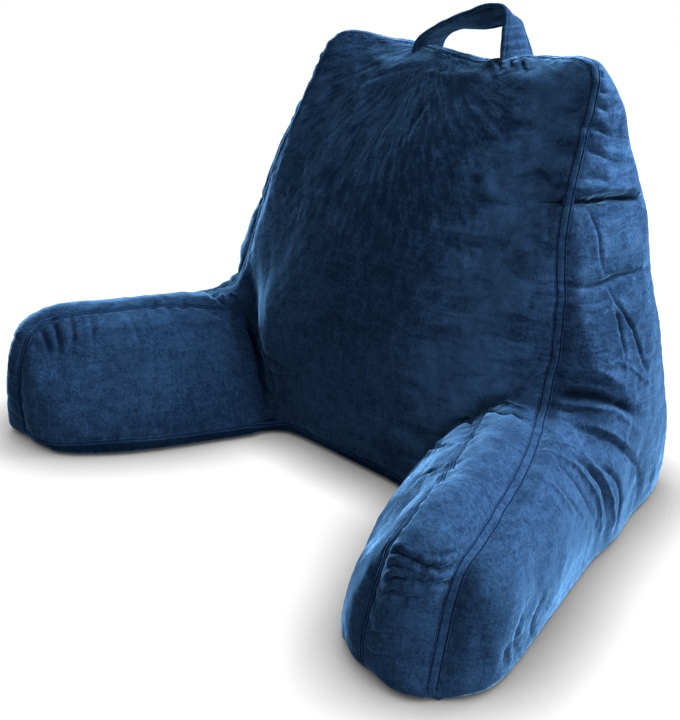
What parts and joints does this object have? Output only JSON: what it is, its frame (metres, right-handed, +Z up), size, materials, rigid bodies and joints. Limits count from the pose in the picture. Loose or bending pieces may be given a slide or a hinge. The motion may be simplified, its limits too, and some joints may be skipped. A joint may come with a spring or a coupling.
{
  "type": "reading pillow",
  "caption": "Filled backrest pillow with two forward-reaching arms, a felled seam round its rim and a carry strap on top, for sitting up to read in bed or on a floor.",
  "frame": {"origin": "middle of the footprint box, on the surface the pillow stands on", "axes": "+X towards the viewer's right when facing the front, -Y the side the sitter leans on, +Z up"},
  "size_m": [0.7398, 0.4928, 0.478],
  "materials": {
    "velour": "short napped velour, deep blue"
  },
  "bodies": {
    "root": {"body": "velour", "handle": "velour"}
  },
  "joints": []
}
